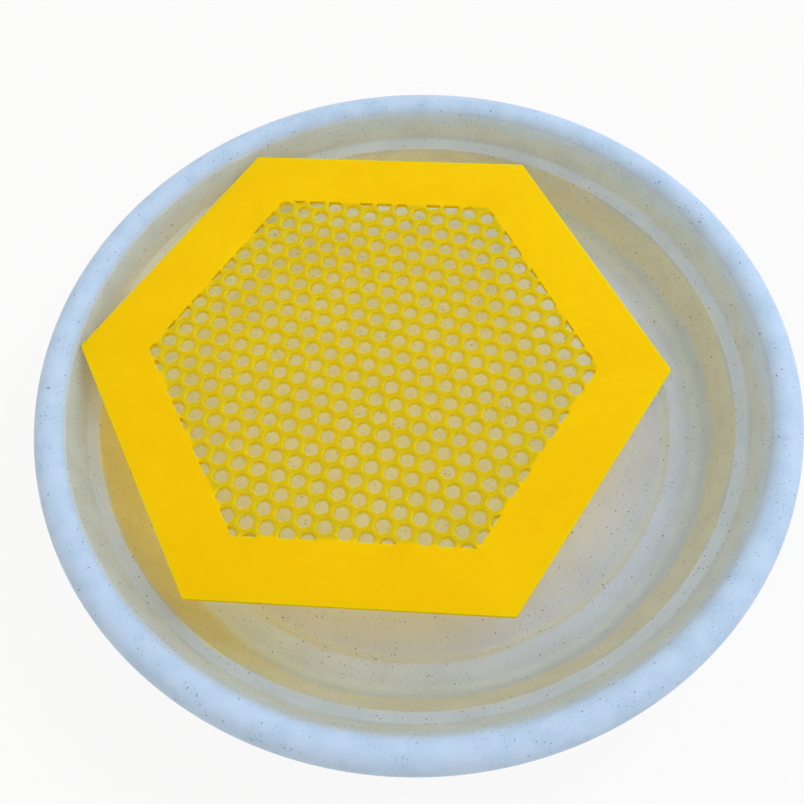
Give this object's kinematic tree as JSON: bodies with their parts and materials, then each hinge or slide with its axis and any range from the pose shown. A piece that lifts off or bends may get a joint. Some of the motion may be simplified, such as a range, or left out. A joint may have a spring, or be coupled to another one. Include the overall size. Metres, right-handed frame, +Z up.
{
  "type": "bee waterer",
  "caption": "Round basin with a rolled rim and stepped wall, and a flat hexagonal raft with honeycomb openings that floats in it so that bees can drink.",
  "frame": {"origin": "middle of the basin's underside, on the surface it stands on", "axes": "+Z up, out of the basin's open top; +X along the raft's corner-to-corner line, towards the corner that is furthest from the wall; +Y away from the viewer of the picture"},
  "size_m": [0.254, 0.254, 0.0449],
  "materials": {
    "speckled_plastic": "satin white moulded plastic with fine dark speckles",
    "yellow_print": "satin yellow 3D-printed plastic"
  },
  "bodies": {
    "basin": {"basin": "speckled_plastic"},
    "raft": {"honeycomb_raft": "yellow_print"}
  },
  "joints": [
    {"name": "raft_lift", "type": "slide", "parent": "basin", "child": "raft", "axis": [0, 0, 1], "range_m": [0, 0.08]}
  ]
}
